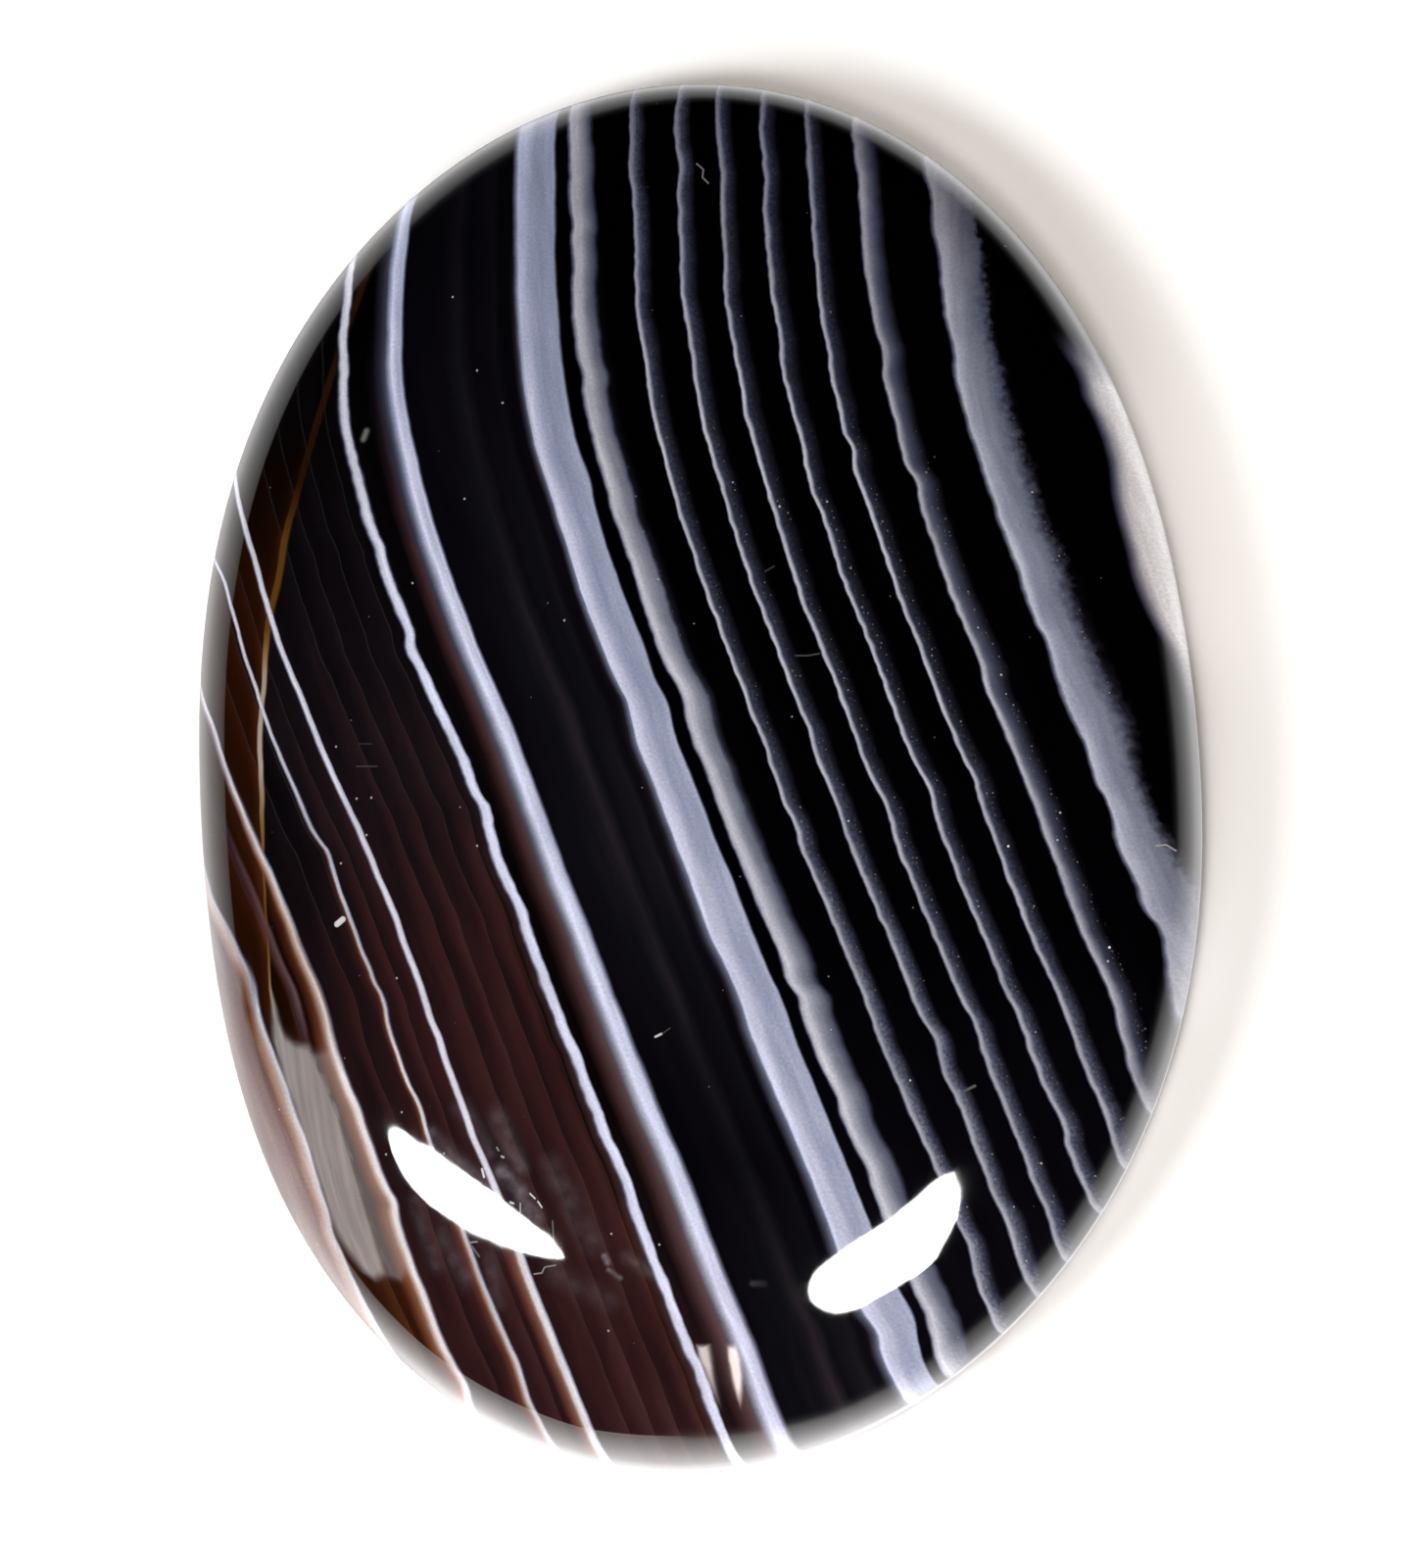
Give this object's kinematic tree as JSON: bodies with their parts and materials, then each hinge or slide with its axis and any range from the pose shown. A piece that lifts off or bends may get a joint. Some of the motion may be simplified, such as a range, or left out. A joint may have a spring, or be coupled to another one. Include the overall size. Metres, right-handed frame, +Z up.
{
  "type": "botswana agate cabochon",
  "caption": "Oval polished cabochon of black and brown banded agate, with a low dome on top and a flat, bevelled back to rest or be set on.",
  "frame": {"origin": "middle of the flat back's bounding box, where the stone rests", "axes": "+Z up out of the dome, +Y along the stone's length towards the end where the bands start, +X across its width"},
  "size_m": [0.03, 0.0418, 0.0065],
  "materials": {
    "agate": "high polish; near-black to dark brown agate with parallel white, blue-grey and amber-edged bands"
  },
  "bodies": {
    "root": {"cabochon": "agate"}
  },
  "joints": []
}
